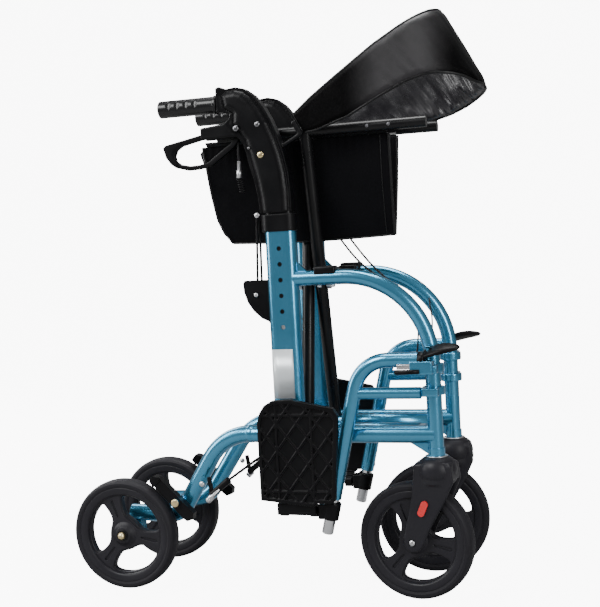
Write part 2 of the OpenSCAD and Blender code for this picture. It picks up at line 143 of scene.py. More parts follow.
def surface(name, color, roughness, metal=0.0, coat=0.0, grain=900.0, bump=0.08,
            drift=0.08, tint=0.06, wear=0.0, specular=0.5):
    """Solid finish: fine grain bump, slow tint and roughness drift, optional scuffs."""
    material = bpy.data.materials.new(name)
    shader = Shader(material)
    coords = shader.object_coords()
    slow = shader.noise(coords, scale=14.0, detail=5.0)
    fine = shader.noise(coords, scale=grain, detail=6.0)
    rough = shader.remap(slow, (0.3, 0.7), (roughness - drift, roughness + drift))
    base = shader.mix(slow, scaled(color, 1 - tint), scaled(color, 1 + tint, lift=0.004))
    if wear > 0:
        scuffs = shader.noise(coords, scale=160.0, detail=9.0, Roughness=0.75)
        amount = shader.remap(scuffs, (0.62, 0.74), (0.0, wear))
        base = shader.mix(amount, base, scaled(color, 1.6, lift=0.03))
    relief = shader.add("Bump", {"Strength": bump, "Distance": 0.0004, "Height": fine})
    shader.put(shader.main, {
        "Base Color": base, "Roughness": rough, "Normal": relief.outputs["Normal"],
        "Metallic": metal, "Coat Weight": coat, "Coat Roughness": 0.08,
        "Specular IOR Level": specular, "Sheen Weight": 0.0, "Sheen Roughness": 0.4})
    return material


def weave(name, color, roughness, threads, sheen, specular, bump=0.35, fade=None):
    """Woven nylon: two crossed bands of thread, with a slow tint drift.

    The optional painted highlight lies on the middle of X, with painted shade towards both
    ends, in base colour and specular: it rises over one span, falls over another, and is "least" beyond them.
    """
    tint = 0.25
    material = bpy.data.materials.new(name)
    shader = Shader(material)
    coords = shader.object_coords()
    bands = [shader.add("TexWave", {"Scale": threads, "Distortion": 0.4, "Vector": coords},
                        wave_type="BANDS", bands_direction=axis).outputs["Fac"]
             for axis in ("X", "Z")]
    cloth = shader.math("MAXIMUM", *bands)
    slow = shader.noise(coords, scale=22.0, detail=6.0)
    base = shader.mix(slow, scaled(color, 1 - tint), scaled(color, 1 + tint, lift=0.003))
    shader.put(shader.main, {"Specular IOR Level": specular})
    # painted highlight: base colour and specular peak in the middle along X, painted shade towards both ends
    if fade:
        along = shader.add("SeparateXYZ", {0: coords}).outputs["X"]
        least = fade["least"]
        rise = shader.remap(along, fade["rise"], (least, 1.0), interpolation_type="SMOOTHSTEP")
        fall = shader.remap(along, fade["fall"], (1.0, least), interpolation_type="SMOOTHSTEP")
        light = shader.math("MULTIPLY", rise, fall)
        base = shader.add("VectorMath", {0: base, "Scale": light},
                          operation="SCALE").outputs["Vector"]
        shine = shader.math("MULTIPLY", light, specular)
        shader.put(shader.main, {"Specular IOR Level": shine})
    rough = shader.remap(slow, (0.3, 0.7), (roughness - 0.07, roughness + 0.09))
    thread_bump = shader.add("Bump", {"Strength": bump, "Distance": 0.0003, "Height": cloth})
    pucker = shader.add("Bump", {"Strength": 0.25, "Distance": 0.003, "Height": slow,
                                 "Normal": thread_bump.outputs["Normal"]})
    shader.put(shader.main, {
        "Base Color": base, "Roughness": rough, "Normal": pucker.outputs["Normal"],
        "Sheen Weight": sheen, "Sheen Roughness": 0.35})
    return material


# grain and threads are texture scales; drift is how far the roughness wanders either way
FINISHES = {
    "blue_paint": (surface, dict(color=(0.066, 0.295, 0.475), roughness=0.24, metal=0.87,
                                 coat=0.5, grain=2600, drift=0.03, tint=0.04)),
    "steel": (surface, dict(color=(0.62, 0.62, 0.63), roughness=0.30, metal=1.0, grain=1500,
                            bump=0.10, drift=0.10, tint=0.08, wear=0.2)),
    "dull_steel": (surface, dict(color=(0.20, 0.20, 0.21), roughness=0.34, metal=1.0,
                                 grain=1500, bump=0.10, drift=0.10, tint=0.08, wear=0.2)),
    "chrome": (surface, dict(color=(0.80, 0.81, 0.83), roughness=0.10, metal=1.0, bump=0.02,
                             drift=0.05, tint=0.04, wear=0.15)),
    "brass": (surface, dict(color=(0.72, 0.60, 0.33), roughness=0.28, metal=1.0, grain=1500)),
    "tyre": (surface, dict(color=(0.0115, 0.0110, 0.0140), roughness=0.58, grain=700,
                           bump=0.30, drift=0.10, tint=0.15, wear=0.08, specular=0.16)),
    "grip_rubber": (surface, dict(color=(0.0020, 0.0020, 0.0026), roughness=0.27, bump=0.03,
                                  drift=0.05, tint=0.15, specular=0.36)),
    "reflector": (surface, dict(color=(0.62, 0.012, 0.012), roughness=0.18, coat=0.6,
                                grain=600, bump=0.3, drift=0.05)),
    "sling_fabric": (weave, dict(color=(0.0010, 0.0010, 0.0018), roughness=0.80,
                                 threads=520.0, sheen=0.02, specular=0.08)),
    # the band carries a painted highlight in its middle along X and painted shade towards both ends
    "band_fabric": (weave, dict(color=(0.0080, 0.0070, 0.0088), roughness=0.40,
                                threads=700.0, bump=0.30, sheen=0.03, specular=0.42,
                                fade=dict(rise=(0.445, 0.525), fall=(0.575, 0.632),
                                          least=0.10))),
    "lining": (weave, dict(color=(0.011, 0.0105, 0.013), roughness=0.27, threads=600.0,
                           bump=0.10, sheen=0.05, specular=1.0)),
    "piping": (surface, dict(color=(0.004, 0.004, 0.0045), roughness=0.34, grain=1800,
                             bump=0.2, specular=0.25)),
    "black_paint": (surface, dict(color=(0.0028, 0.0028, 0.0034), roughness=0.30, grain=2200,
                                  bump=0.10, drift=0.06, tint=0.10, wear=0.04,
                                  specular=0.22)),
    "wheel_plastic": (surface, dict(color=(0.0125, 0.0120, 0.0155), roughness=0.40,
                                    grain=1400, bump=0.18, tint=0.10, wear=0.05,
                                    specular=0.2)),
    "black_plastic": (surface, dict(color=(0.0012, 0.0012, 0.0018), roughness=0.36,
                                    grain=1300, bump=0.14, tint=0.10, wear=0.04,
                                    specular=0.14)),
    "label": (surface, dict(color=(0.62, 0.66, 0.68), roughness=0.32, metal=0.3, bump=0.05,
                            drift=0.05)),
    "grey_plate": (surface, dict(color=(0.10, 0.10, 0.11), roughness=0.35, metal=0.4,
                                 grain=1200, bump=0.15)),
}
MATERIALS = {name: make(name, **settings) for name, (make, settings) in FINISHES.items()}
SLOT_OF = {part["node"]: part["material_slot"] for part in frame["record"]["subparts"]}
for node_name, node_object in nodes.items():
    node_object.data.materials.clear()
    node_object.data.materials.append(MATERIALS[SLOT_OF[node_name]])


# ---------------------------------------------------------------- helpers
def link_object(name, data):
    obj = bpy.data.objects.new(name, data)
    scene.collection.objects.link(obj)
    return obj


def shade_smooth(mesh, smooth=True):
    mesh.polygons.foreach_set("use_smooth", [smooth] * len(mesh.polygons))


def mesh_object(name, verts, faces, material):
    mesh = bpy.data.meshes.new(name)
    mesh.from_pydata([tuple(map(float, vert)) for vert in verts], [], faces)
    mesh.materials.append(MATERIALS[material])
    shade_smooth(mesh)
    mesh.update()
    return link_object(name, mesh)


def face_outwards(obj, merge=False):
    """Turns all faces outwards, first merging doubled vertices if asked."""
    bm = bmesh.new()
    bm.from_mesh(obj.data)
    if merge:
        bmesh.ops.remove_doubles(bm, verts=bm.verts, dist=1e-6)
    bmesh.ops.recalc_face_normals(bm, faces=bm.faces)
    bm.to_mesh(obj.data)
    bm.free()
    return obj


def attach(obj, body, replaced=None):
    """Fixes a piece to its moving body and, if given, hides a CAD piece."""
    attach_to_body(obj, body)
    if replaced:
        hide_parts(replaced)


def mirrored(points, sign):
    """(x, out, z) points carried to one side."""
    return [(x, sign * out, z) for x, out, z in points]


def table_at(table, x):
    """Straight-line reading of a table of (x, value) pairs."""
    return float(np.interp(x, *zip(*table)))


def ring_quads(rings, around):
    """Quads between successive rings of vertices."""
    return [(i * around + k, i * around + (k + 1) % around,
             (i + 1) * around + (k + 1) % around, (i + 1) * around + k)
            for i in range(rings - 1) for k in range(around)]


def ring_caps(rings, around):
    return [tuple(range(around - 1, -1, -1)),
            tuple((rings - 1) * around + k for k in range(around))]


def circle_point(centre, first, second, radius, angle):
    return centre + (first * math.cos(angle) + second * math.sin(angle)) * radius


def any_normal(axis):
    """A unit vector square to the axis."""
    helper = Vector((0, 0, 1)) if abs(axis.z) < 0.9 else Vector((1, 0, 0))
    return axis.cross(helper).normalized()


def tube(name, points, radius, material, around=12):
    """Round cord through points; radius is one number or one for each point."""
    points = [Vector(point) for point in points]
    count = len(points)
    radii = radius if isinstance(radius, list) else [radius] * count
    tangents = [(points[min(i + 1, count - 1)] - points[max(i - 1, 0)]).normalized()
                for i in range(count)]
    across = any_normal(tangents[0])
    verts = []
    for point, tangent, ring_radius in zip(points, tangents, radii):
        across = (across - tangent * across.dot(tangent)).normalized()
        other = tangent.cross(across)
        for k in range(around):
            angle = 2 * math.pi * k / around
            verts.append(circle_point(point, across, other, ring_radius, angle))
    faces = ring_quads(count, around) + ring_caps(count, around)
    return mesh_object(name, verts, faces, material)


def smooth_path(points, steps=8):
    """Catmull-Rom curve through the points."""
    points = [Vector(point) for point in points]
    points = [points[0] * 2 - points[1]] + points + [points[-1] * 2 - points[-2]]
    path = []
    for i in range(1, len(points) - 2):
        before, start, end, after = points[i - 1:i + 3]
        for k in range(steps):
            t = k / steps
            path.append(0.5 * ((2 * start) + (end - before) * t
                               + (2 * before - 5 * start + 4 * end - after) * t * t
                               + (3 * start - before - 3 * end + after) * t ** 3))
    path.append(points[-2])
    return path


def disc(name, centre, axis, radius, height, material, around=28, dome=0.0):
    """Round head on an axis: a short cylinder with a bevelled edge and a domed top."""
    centre, axis = Vector(centre), Vector(axis).normalized()
    first = any_normal(axis)
    second = axis.cross(first)
    rings = [(radius, 0.0), (radius, height * (1 - 0.35)), (radius * (1 - 0.12), height),
             (radius * 0.5, height + dome * 0.8)]
    verts = [circle_point(centre + axis * ring_height, first, second, ring_radius,
                          2 * math.pi * k / around)
             for ring_radius, ring_height in rings for k in range(around)]
    verts.append(centre + axis * (height + dome))
    faces = ring_quads(len(rings), around)
    bottom, top_ring = ring_caps(len(rings), around)
    faces += [(top_ring[k], top_ring[(k + 1) % around], len(verts) - 1)
              for k in range(around)]
    faces.append(bottom)
    return face_outwards(mesh_object(name, verts, faces, material))


def outer_head(name, body, sign, place, radius, height, material, dome=0.0):
    """A disc at (x, out, z) facing away from the middle plane."""
    x, out, z = place
    head = disc(name, (x, sign * out, z), (0, sign, 0), radius, height, material, dome=dome)
    attach(head, body)


def block(name, sign, x_span, out_span, z_span, material, bevel=0.0008):
    """Box with rounded edges."""
    y_span = sorted(sign * out for out in out_span)
    low, high = (Vector(corner) for corner in zip(x_span, y_span, z_span))
    bm = bmesh.new()
    bmesh.ops.create_cube(bm, size=1.0)
    for vert in bm.verts:
        vert.co = Vector([(low[i] + high[i]) / 2 + vert.co[i] * (high[i] - low[i])
                          for i in range(3)])
    bmesh.ops.bevel(bm, geom=bm.edges[:], offset=bevel, segments=3, affect="EDGES",
                    profile=0.5)
    mesh = bpy.data.meshes.new(name)
    bm.to_mesh(mesh)
    bm.free()
    mesh.materials.append(MATERIALS[material])
    shade_smooth(mesh)
    return link_object(name, mesh)


def sheet(name, columns, rows, point, material):
    """Two-layer cloth closed round its rim; point(i, j, layer_sign) places a vertex."""
    def index(layer, i, j):
        return (layer * (columns + 1) + i) * (rows + 1) + j

    verts = [point(i, j, layer_sign) for layer_sign in (1, -1)
             for i in range(columns + 1) for j in range(rows + 1)]
    faces = []
    for i in range(columns):
        for j in range(rows):
            faces.append((index(0, i, j), index(0, i + 1, j),
                          index(0, i + 1, j + 1), index(0, i, j + 1)))
            faces.append((index(1, i, j), index(1, i, j + 1),
                          index(1, i + 1, j + 1), index(1, i + 1, j)))
    rim = ([(i, 0) for i in range(columns)] + [(columns, j) for j in range(rows)]
           + [(i, rows) for i in range(columns, 0, -1)] + [(0, j) for j in range(rows, 0, -1)])
    for here, after in zip(rim, rim[1:] + rim[:1]):
        faces.append((index(0, *here), index(1, *here), index(1, *after), index(0, *after)))
    return face_outwards(mesh_object(name, verts, faces, material)), verts, index


# ---------------------------------------------------------------- back band
# The band lies in its own tilted frame: along (forwards), across (Y) and height.
BAND_TILT = math.radians(28)
BAND_ORIGIN = Vector((0.345, 0.0, 0.808))
BAND_ALONG = Vector((math.cos(BAND_TILT), 0, math.sin(BAND_TILT)))
BAND_ACROSS = Vector((0, 1, 0))
BAND_HEIGHT = Vector((-math.sin(BAND_TILT), 0, math.cos(BAND_TILT)))
BAND_RADIUS = 0.0785               # of the front loop
BAND_START = {"_right": 0.020, "_left": 0.036}
BAND_BEND = 0.232                  # where the straight run meets the loop
BAND_BOW = 0.004                   # outward bow of the straight run
BAND_STEPS, BAND_ROWS = 110, 30
# (along, height) of the band's edges
BAND_TOP = [(0.0, 0.010), (0.06, 0.021), (0.196, 0.0365), (0.300, 0.0405), (0.32, 0.0395)]
BAND_BOTTOM = {
    "_right": [(0.0, -0.014), (0.04, -0.030), (0.102, -0.041), (0.16, -0.0415),
               (0.210, -0.0445), (0.240, -0.051), (0.262, -0.060), (0.280, -0.072),
               (0.292, -0.083), (0.304, -0.101), (0.312, -0.108)],
    "_left": [(0.034, -0.034), (0.102, -0.060), (0.150, -0.080), (0.197, -0.097),
              (0.230, -0.105), (0.262, -0.109), (0.304, -0.111), (0.320, -0.1105)],
}


def band_offset(distance, q, outer, sign, straight):
    """Signed offset of a face from the mid-surface; q runs 0 to 1 up the band."""
    direction = 1 if outer else -1
    if q <= 0.0 or q >= 1.0:
        return 0.0011 * direction
    to_edge = min(q, 1 - q)
    pad = 0.0012 + 0.0040 * min(1.0, to_edge / 0.10) ** 0.5
    # gathers run across the strip, strongest by the bound edges and round the front
    front = max(0.0, min(1.0, (distance - straight * 0.55) / (straight * 0.6)))
    gather = noise.noise(Vector((distance * 88 + sign * 3.1 + q * 1.6, q * 1.9,
                                 1.7 if outer else 8.3)))
    slow = noise.noise(Vector((distance * 38, q * 2.0 + sign, 4.4 if outer else 2.2)))
    if outer:
        depth = 0.0007 + 0.0006 * front
    else:
        gather = 0.9 - 2.2 * abs(gather)
        depth = 0.0030 + 0.0040 * front
    by_edge = 0.35 + 0.65 * (1 - min(1.0, to_edge / 0.35))
    return (pad + gather * depth * by_edge + slow * depth * 0.8) * direction


def band_half(side, sign):
    """One padded half of the band: a straight run, then a quarter of the front loop."""
    straight = BAND_BEND - BAND_START[side]
    length = straight + BAND_RADIUS * math.pi / 2
    around = 2 * BAND_ROWS
    verts = []
    for i in range(BAND_STEPS + 1):
        distance = length * i / BAND_STEPS
        if distance < straight:
            along = BAND_START[side] + distance
            across = -BAND_RADIUS - BAND_BOW * math.sin(math.pi * distance / straight)
            normal_along, normal_across = 0.0, -1.0
        else:
            angle = (distance - straight) / BAND_RADIUS
            normal_along, normal_across = math.sin(angle), -math.cos(angle)
            along = BAND_BEND + BAND_RADIUS * normal_along
            across = BAND_RADIUS * normal_across
        top = table_at(BAND_TOP, along)
        bottom = table_at(BAND_BOTTOM[side], along)
        for k in range(around):
            outer = k < BAND_ROWS
            q = (k if outer else around - 1 - k) / (BAND_ROWS - 1)
            offset = band_offset(distance, q, outer, sign, straight)
            verts.append(BAND_ORIGIN + BAND_ALONG * (along + normal_along * offset)
                         + BAND_ACROSS * (-sign * (across + normal_across * offset))
                         + BAND_HEIGHT * (bottom + (top - bottom) * q))
    rings = BAND_STEPS + 1
    faces = ring_quads(rings, around) + ring_caps(rings, around)
    pad = face_outwards(mesh_object("back_band_pad" + side, verts, faces, "band_fabric"))
    pad.data.materials.append(MATERIALS["lining"])
    for face in pad.data.polygons:
        on_inside = BAND_ROWS <= face.index % around < around - 1
        if face.index < BAND_STEPS * around and on_inside:
            face.material_index = 1
    attach(pad, "band" + side, "back_band" + side)
    for edge, k in (("top", BAND_ROWS - 1), ("bottom", 0)):
        path = [verts[i * around + k] * 0.5 + verts[i * around + around - 1 - k] * 0.5
                for i in range(rings)]
        binding = tube(f"band_binding_{edge}{side}", path, 0.0026, "piping", around=10)
        attach(binding, "band" + side)


for side, sign in SIDES:
    band_half(side, sign)


# ---------------------------------------------------------------- seat sling
SLING_TOP_Y, SLING_TOP_Z = 0.034, 0.790      # hem at the rail
SLING_FOLD_Y, SLING_FOLD_Z = 0.0024, 0.6165  # fold at the bottom
SLING_HALF_THICK = 0.0011
SLING_COLUMNS, SLING_ROWS = 90, 46
# (share of the way down from hem to fold, x)
SLING_REAR = [(0, 0.168), (0.5, 0.1745), (0.75, 0.180), (0.9, 0.190), (1.0, 0.204)]
SLING_FRONT = [(0, 0.509), (1.0, 0.5045)]


def sling_drape(x, q, sign):
    """Change in height and outward bulge of the cloth at x, q of the way down."""
    sag = -0.004 * math.sin(math.pi * min(1, max(0, (x - 0.19) / 0.31))) * q * q
    if x < 0.2:
        # lifts the lower rear corner
        sag += 0.010 * ((0.204 - x) / 0.036) * max(0, q - 0.9) / 0.1
    free = 1 - math.exp(-((x - 0.354) / 0.036) ** 4)  # the cloth lies flat round x = 0.354
    swell = math.sin(math.pi * q) * free
    bulge = 0.0065 * swell * (0.6 + 0.4 * math.sin(x * 31))
    bulge += 0.0026 * noise.noise(Vector((x * 16, q * 3.0, sign * 2.0))) * swell
    bulge += 0.0006 * noise.noise(Vector((x * 60, q * 7.0, sign * 5.0))) * free
    # close ripples just below the rail
    bulge += 0.0007 * math.sin(x * 420 + q * 3) * max(0, 1 - q * 3.2) * free
    return sag, bulge


def sling_half(side, sign):
    """Hanging half of the seat: a wall of cloth from the rail hem down to the fold."""
    body = "seat_half" + side

    def point(i, j, layer_sign):
        q = j / SLING_ROWS
        rear, front = table_at(SLING_REAR, q), table_at(SLING_FRONT, q)
        x = rear + (front - rear) * i / SLING_COLUMNS
        sag, bulge = sling_drape(x, q, sign)
        out = (SLING_TOP_Y + (SLING_FOLD_Y - SLING_TOP_Y) * q + bulge
               + layer_sign * SLING_HALF_THICK)
        z = SLING_TOP_Z + (SLING_FOLD_Z - SLING_TOP_Z) * q + sag
        return x, sign * max(out, 0.0012), z

    sling, verts, index = sheet("seat_sling" + side, SLING_COLUMNS, SLING_ROWS, point,
                                "sling_fabric")
    attach(sling, body, "seat_panel" + side)

    def middle(i, j):
        return (Vector(verts[index(0, i, j)]) + Vector(verts[index(1, i, j)])) / 2

    # turned hems, a row of stitching near the front one, and a cord along the fold
    rows = range(SLING_ROWS + 1)
    for edge, i in (("front", SLING_COLUMNS), ("rear", 0)):
        hem = tube(f"sling_hem_{edge}{side}", [middle(i, j) for j in rows], 0.0024, "piping",
                   around=10)
        attach(hem, body)
    path = [Vector(verts[index(0, SLING_COLUMNS - 4, j)]) + Vector((0, sign * 0.0003, 0))
            for j in rows]
    attach(tube(f"sling_stitch_front{side}", path, 0.0009, "piping", around=8), body)
    path = [middle(i, SLING_ROWS) for i in range(SLING_COLUMNS + 1)]
    attach(tube(f"sling_fold_cord{side}", path, 0.0019, "piping", around=10), body)


def seat_flap(side, sign):
    """Narrow upright flap beside the middle plane, rising from the fold."""
    columns, rows = 40, 10

    def point(i, j, layer_sign):
        return (0.206 + 0.296 * i / columns, sign * (0.0013 + layer_sign * 0.0005),
                0.6185 + 0.0377 * j / rows)

    flap, _, _ = sheet("seat_flap" + side, columns, rows, point, "sling_fabric")
    attach(flap, "seat_edge" + side, "seat_seam" + side)


def stay_cords():
    """Two thin slack cords from the sling's fold down to the right side frame's arch."""
    ends = (((0.4076, -0.004, 0.612), (0.485, -0.080, 0.551)),
            ((0.4254, -0.004, 0.612), (0.515, -0.080, 0.534)))
    steps, slack = 14, 0.006
    for number, (start, end) in enumerate(ends, 1):
        path = [Vector(start).lerp(Vector(end), k / steps)
                + Vector((0, 0, -slack * math.sin(math.pi * k / steps)))
                for k in range(steps + 1)]
        attach(tube(f"stay_cord_{number}", path, 0.0018, "piping", around=8),
               "seat_half_right")


for side, sign in SIDES:
    sling_half(side, sign)
    seat_flap(side, sign)
stay_cords()


# ---------------------------------------------------------------- moulded pieces
VOXEL = 0.0012
# CAD piece, moving body, voxel size as a share of VOXEL, smoothing passes
MOULDED = (
    ("handle_shell", "handle", 1.0, 10),
    ("brake_lever", "lever", 0.8, 5),
    ("caster_fork", "caster", 1.2, 36),
    ("post_collar", "frame", 0.8, 4),
    ("footplate", "footplate", 0.75, 2),
    ("footrest_clamp", "extension", 1.0, 5),
    ("hanger_bracket", "hanger", 1.0, 5),
)
SHELL_HALF = 0.0165   # half the width of the handle shell
CROWN_REACH = 0.013   # how far in from the outline the crowning starts
CROWN_DROP = 0.0062   # how far the cheek falls at the outline


def moulded(node, body, voxel, passes):
    """A softened copy of a CAD piece: finely remeshed, with its corners rounded."""
    mesh = nodes[node].data.copy()
    copy = link_object(node + "_moulded", mesh)
    mesh.materials.clear()
    remesh = copy.modifiers.new("r", "REMESH")
    remesh.mode = "VOXEL"
    remesh.voxel_size = voxel
    remesh.use_smooth_shade = True
    smooth = copy.modifiers.new("s", "SMOOTH")
    smooth.iterations = passes
    smooth.factor = 0.6
    bpy.ops.object.select_all(action="DESELECT")
    copy.select_set(True)
    bpy.context.view_layer.objects.active = copy
    for modifier in list(copy.modifiers):
        bpy.ops.object.modifier_apply(modifier=modifier.name)
    copy.data.materials.clear()
    copy.data.materials.append(MATERIALS[SLOT_OF[node]])
    shade_smooth(copy.data)
    attach(copy, body, node)
    return copy


def crown(shell, sign):
    """Lets the flat cheeks fall away towards their outline."""
    verts = shell.data.vertices
    middle = sign * SIDE_Y
    rim = [v.index for v in verts if abs(v.normal.y) < 0.7 and v.normal.z > -0.85
           and 0.84 < abs(v.co.y - middle) / SHELL_HALF < 0.97]
    tree = KDTree(len(rim))
    for i in rim:
        tree.insert((verts[i].co.x, 0, verts[i].co.z), i)
    tree.balance()
    for vert in verts:
        to_rim = tree.find((vert.co.x, 0, vert.co.z))[2]
        t = max(0.0, 1.0 - to_rim / CROWN_REACH)
        shrink = 1.0 - CROWN_DROP * t * t / SHELL_HALF
        vert.co.y = middle + (vert.co.y - middle) * shrink
    shell.data.update()


def cheek_out(shell, sign, x, z):
    """How far out the shell's outer cheek stands at one place."""
    reach = 0.0025
    found = [sign * v.co.y for v in shell.data.vertices
             if abs(v.co.x - x) < reach and abs(v.co.z - z) < reach]
    return max(found) if found else 0.1005


SHELLS = {}
for side, sign in SIDES:
    pieces = {node: moulded(node + side, body + side, VOXEL * share, passes)
              for node, body, share, passes in MOULDED}
    SHELLS[side] = pieces["handle_shell"]
    crown(SHELLS[side], sign)


# ---------------------------------------------------------------- wheels
SPOKE_ANGLES = [math.radians(angle) for angle in (110, -10, 230)]
HALF_SECTOR = math.radians(60)
# lower halves of the turned outlines: (radius, height along the axle)
RIM_HALF = [(0.0725, -0.011), (0.0738, -0.0126), (0.0760, -0.0137), (0.0845, -0.0152),
            (0.0862, -0.0148)]
HUB_HALF = [(0.0063, -0.0170), (0.0135, -0.0170), (0.0150, -0.0160), (0.0160, -0.0125),
            (0.0215, -0.0105), (0.0240, -0.0080)]
# (radius, z) of the swelling round the caster stem
FORK_HEAD = [(0.0, 0.2035), (0.022, 0.2035), (0.0290, 0.2075), (0.0325, 0.2150),
             (0.0335, 0.2230), (0.0315, 0.2320), (0.0270, 0.2395), (0.0205, 0.2440),
             (0.0, 0.2450)]


def lathe(name, outline, material, around=96, capped=False):
    """Solid turned about local Z from (radius, height) points."""
    verts = []
    for radius, height in outline:
        for k in range(around):
            angle = 2 * math.pi * k / around
            verts.append((radius * math.cos(angle), radius * math.sin(angle), height))
    faces = ring_quads(len(outline), around)
    if capped:
        faces += ring_caps(len(outline), around)
    obj = face_outwards(mesh_object(name, verts, faces, material), merge=True)
    shade_smooth(obj.data)
    return obj


def both_halves(half):
    return half + [(radius, -height) for radius, height in reversed(half)]


def soften(points, times):
    """Rounds a closed outline by averaging neighbours."""
    points = np.array(points)
    for _ in range(times):
        points = 0.5 * points + 0.25 * (np.roll(points, 1, 0) + np.roll(points, -1, 0))
    return points


def circle(radius, count=120):
    angles = [2 * math.pi * k / count for k in range(count)]
    return np.array([(radius * math.cos(a), radius * math.sin(a)) for a in angles])


def opening(middle, inner_radius, outer_radius, half_spoke):
    """Outline of one rounded opening between two spokes."""
    inner = []
    for t in np.linspace(-1, 1, 90):
        angle = t * math.radians(46)
        radius = max(inner_radius, half_spoke / math.sin(HALF_SECTOR - abs(angle)))
        if radius < outer_radius - 0.001:
            inner.append((radius, angle))
    polar = inner + [(outer_radius, angle) for _, angle in reversed(inner)]
    outline = [(radius * math.cos(angle + middle), radius * math.sin(angle + middle))
               for radius, angle in polar]
    # even spacing, then rounded corners
    closed = np.array(outline + outline[:1])
    run = np.concatenate([[0], np.cumsum(np.hypot(*np.diff(closed, axis=0).T))])
    stations = np.linspace(0, run[-1], 97)[:-1]
    even = np.stack([np.interp(stations, run, closed[:, 0]),
                     np.interp(stations, run, closed[:, 1])], 1)
    return soften(even, 26)


def spoke_slot(angle):
    """Outline of the tapered slot along a spoke."""
    inner_end, outer_end = 0.030, 0.068
    inner_half, outer_half = 0.0030, 0.0044
    stations = [(k / 12, 1) for k in range(13)] + [(1 - k / 12, -1) for k in range(13)]
    points = soften([(inner_end + (outer_end - inner_end) * t,
                      edge * (inner_half + (outer_half - inner_half) * t))
                     for t, edge in stations], 2)
    x, y = points[:, 0], points[:, 1]
    cos, sin = math.cos(angle), math.sin(angle)
    return np.stack([x * cos - y * sin, x * sin + y * cos], 1)


def plate(name, outlines, half, bevel, material):
    """Flat plate with holes and rounded edges, lying in local XY."""
    curve = bpy.data.curves.new(name, "CURVE")
    curve.dimensions = "2D"
    curve.fill_mode = "BOTH"
    curve.extrude = half - bevel
    curve.bevel_depth = bevel
    curve.bevel_resolution = 2
    for outline in outlines:
        spline = curve.splines.new("POLY")
        spline.points.add(len(outline) - 1)
        for point, (x, y) in zip(spline.points, outline):
            point.co = (x, y, 0, 1)
        spline.use_cyclic_u = True
    carrier = link_object(name + "_c", curve)
    bpy.context.view_layer.update()
    mesh = bpy.data.meshes.new_from_object(carrier)
    bpy.data.objects.remove(carrier)
    mesh.materials.clear()
    mesh.materials.append(MATERIALS[material])
    return link_object(name, mesh)


def wheel_centre(end, side, centre, yaw):
    """Three-spoke centre: rim band, web and face with openings, spoke slots, stepped hub."""
    tag, material = end + side, "wheel_plastic"

    def openings(inner_radius, outer_radius, half_spoke):
        return [opening(angle + HALF_SECTOR, inner_radius, outer_radius, half_spoke)
                for angle in SPOKE_ANGLES]

    web = plate("web_" + tag, [circle(0.0790)] + openings(0.029, 0.0725, 0.0115),
                half=0.0068, bevel=0.0022, material=material)
    slots = [spoke_slot(angle) for angle in SPOKE_ANGLES]
    face = plate("face_" + tag, [circle(0.0770)] + openings(0.0265, 0.0745, 0.0100) + slots,
                 half=0.0092, bevel=0.0012, material=material)
    rim = lathe("rim_" + tag, both_halves(RIM_HALF) + RIM_HALF[:1], material)
    hub = lathe("hub_" + tag, both_halves(HUB_HALF), material, around=64, capped=True)
    turn = (Matrix.Translation(centre) @ Matrix.Rotation(yaw, 4, "Z")
            @ Matrix.Rotation(math.radians(90), 4, "X"))
    for part in (web, face, rim, hub):
        part.data.transform(turn)
        attach(part, f"{end}_wheel{side}")
    for part in (web, face):
        shade_smooth(part.data, False)
    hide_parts("wheel_" + tag)


def rear_axle(side, sign):
    """Spindle with a washer and domed nut outside the wheel and a nut inside it."""
    body = "frame" + side
    path = mirrored([(0, out, REAR_AXLE_Z) for out in (0.040, 0.0865, 0.119)], sign)
    attach(tube("rear_spindle" + side, path, 0.0059, "steel", around=24), body,
           "rear_axle" + side)
    for name, out, radius, height, material, dome in (
            ("washer", 0.1155, 0.0105, 0.0012, "black_plastic", 0.0),
            ("nut", 0.1165, 0.0068, 0.0050, "brass", 0.0035),
            ("inner_nut", 0.0785, 0.0088, 0.003, "steel", 0.0)):
        outer_head(f"rear_axle_{name}{side}", body, sign, (0, out, REAR_AXLE_Z), radius,
                   height, material, dome)


def front_axle(side, centre, outward):
    """Spindle across the caster fork with a small head at each end."""
    body = "caster" + side
    half = 0.0245
    path = [centre - outward * half, centre, centre + outward * half]
    attach(tube("front_spindle" + side, path, 0.0039, "steel", around=20), body,
           "caster_axle" + side)
    for name, way in (("in", -1), ("out", 1)):
        head = disc(f"front_axle_head_{name}{side}", centre + outward * (0.0240 * way),
                    outward * way, 0.0050, 0.0022, "steel", dome=0.0010)
        attach(head, body)


def fork_head(side, sign):
    head = lathe("fork_head" + side, FORK_HEAD, "wheel_plastic", around=64)
    head.data.transform(Matrix.Translation((CASTER_X, sign * SIDE_Y, 0.0)))
    attach(head, "caster" + side)


def release_paddle(side, sign):
    """Leaf-shaped paddle, rising to the front, with its outer side lower."""
    steps, around = 40, 28
    roll = math.radians(26)
    verts = []
    for i in range(steps + 1):
        t = i / steps
        half_width, half_thick = 0.0004, 0.0003
        if 0 < t < 1:
            half_width += 0.0135 * math.sin(math.pi * t ** 0.75) ** 0.45
            half_thick += 0.0050 * math.sin(math.pi * t) ** 0.4
        spine_z = 0.4155 + 0.0135 * t + 0.004 * math.sin(math.pi * t)
        for k in range(around):
            angle = 2 * math.pi * k / around
            cos, sin = math.cos(angle), math.sin(angle)
            wide = half_width * math.copysign(abs(cos) ** 0.8, cos)
            thick = half_thick * math.copysign(abs(sin) ** 0.7, sin)
            inward = wide * math.cos(roll) - thick * math.sin(roll)
            rise = wide * math.sin(roll) + thick * math.cos(roll)
            verts.append((0.560 + 0.068 * t, sign * (HANGER_Y - inward), spine_z + rise))
    faces = ring_quads(steps + 1, around) + ring_caps(steps + 1, around)
    leaf = face_outwards(mesh_object("paddle_leaf" + side, verts, faces, "black_plastic"))
    attach(leaf, "paddle" + side, "release_paddle" + side)


